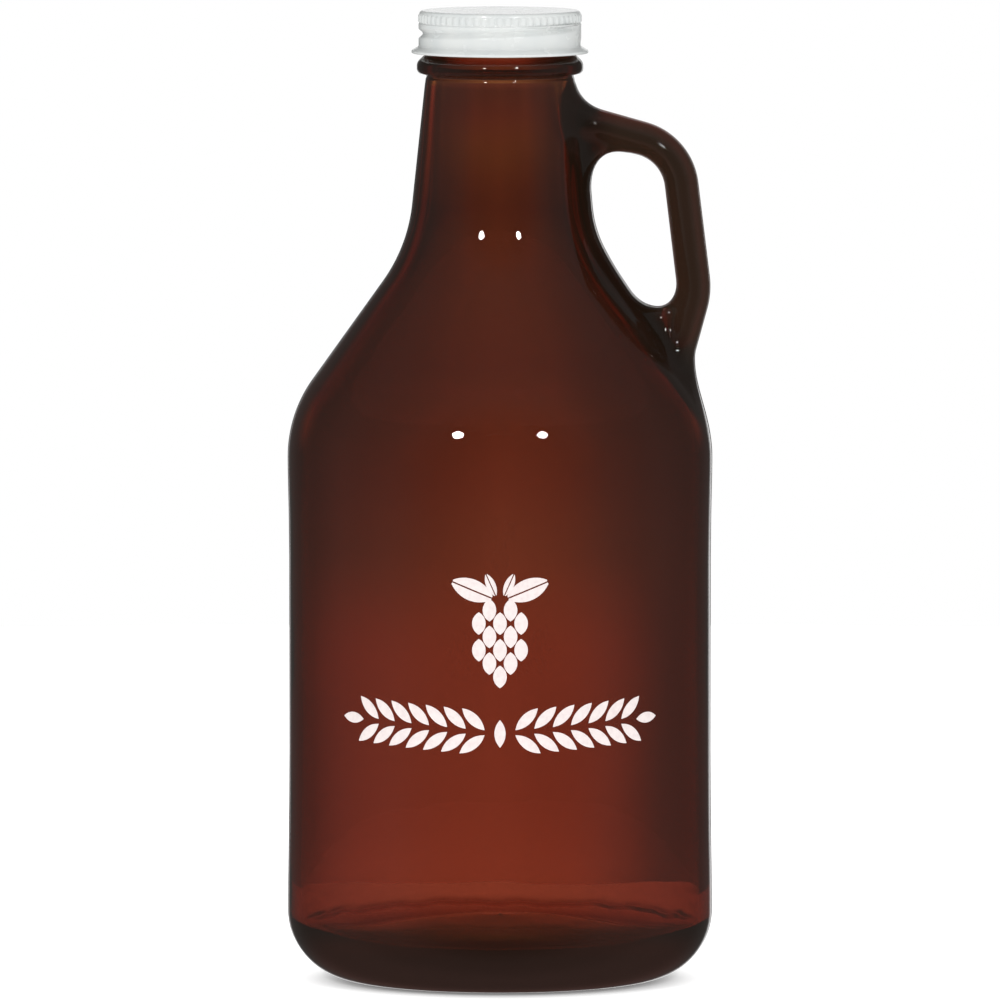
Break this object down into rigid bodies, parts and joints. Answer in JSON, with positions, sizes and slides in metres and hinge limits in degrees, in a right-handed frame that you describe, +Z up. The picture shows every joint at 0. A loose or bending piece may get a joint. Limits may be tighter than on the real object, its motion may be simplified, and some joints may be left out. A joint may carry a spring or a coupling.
{
  "type": "growler",
  "caption": "Amber glass quart growler with a finger loop on the neck, a fired white print and a lined white metal screw cap.",
  "frame": {"origin": "middle of the base, on the surface that the bottle stands on", "axes": "+Z up along the bottle's axis, +X towards the finger loop, -Y towards the printed front"},
  "size_m": [0.0992, 0.0992, 0.2273],
  "materials": {
    "amber_glass": "clear amber container glass, fire-polished, slightly wavy inside",
    "fired_enamel": "off-white ceramic enamel, fired on, semi-gloss",
    "cap_enamel": "white baked enamel on tinplate, gloss",
    "pulpboard": "grey pulpboard, matt",
    "liner_film": "white polymer film, satin"
  },
  "bodies": {
    "jug": {"bottle": "amber_glass", "fired_emblem": "fired_enamel"},
    "liner": {"liner_backing": "pulpboard", "liner_facing": "liner_film"},
    "cap": {"cap_shell": "cap_enamel"}
  },
  "joints": [
    {"name": "cap_lift", "type": "slide", "parent": "jug", "child": "liner", "axis": [0, 0, 1], "range_m": [0, 0.0127]},
    {"name": "cap_turn", "type": "hinge", "parent": "liner", "child": "cap", "pos_m": [0, 0, 0.2235], "axis": [0, 0, 1], "range_deg": [0, 1080]}
  ],
  "couplings": [
    {"joint": "cap_lift", "follows": "cap_turn", "m_per_rad": 0.00067375}
  ]
}
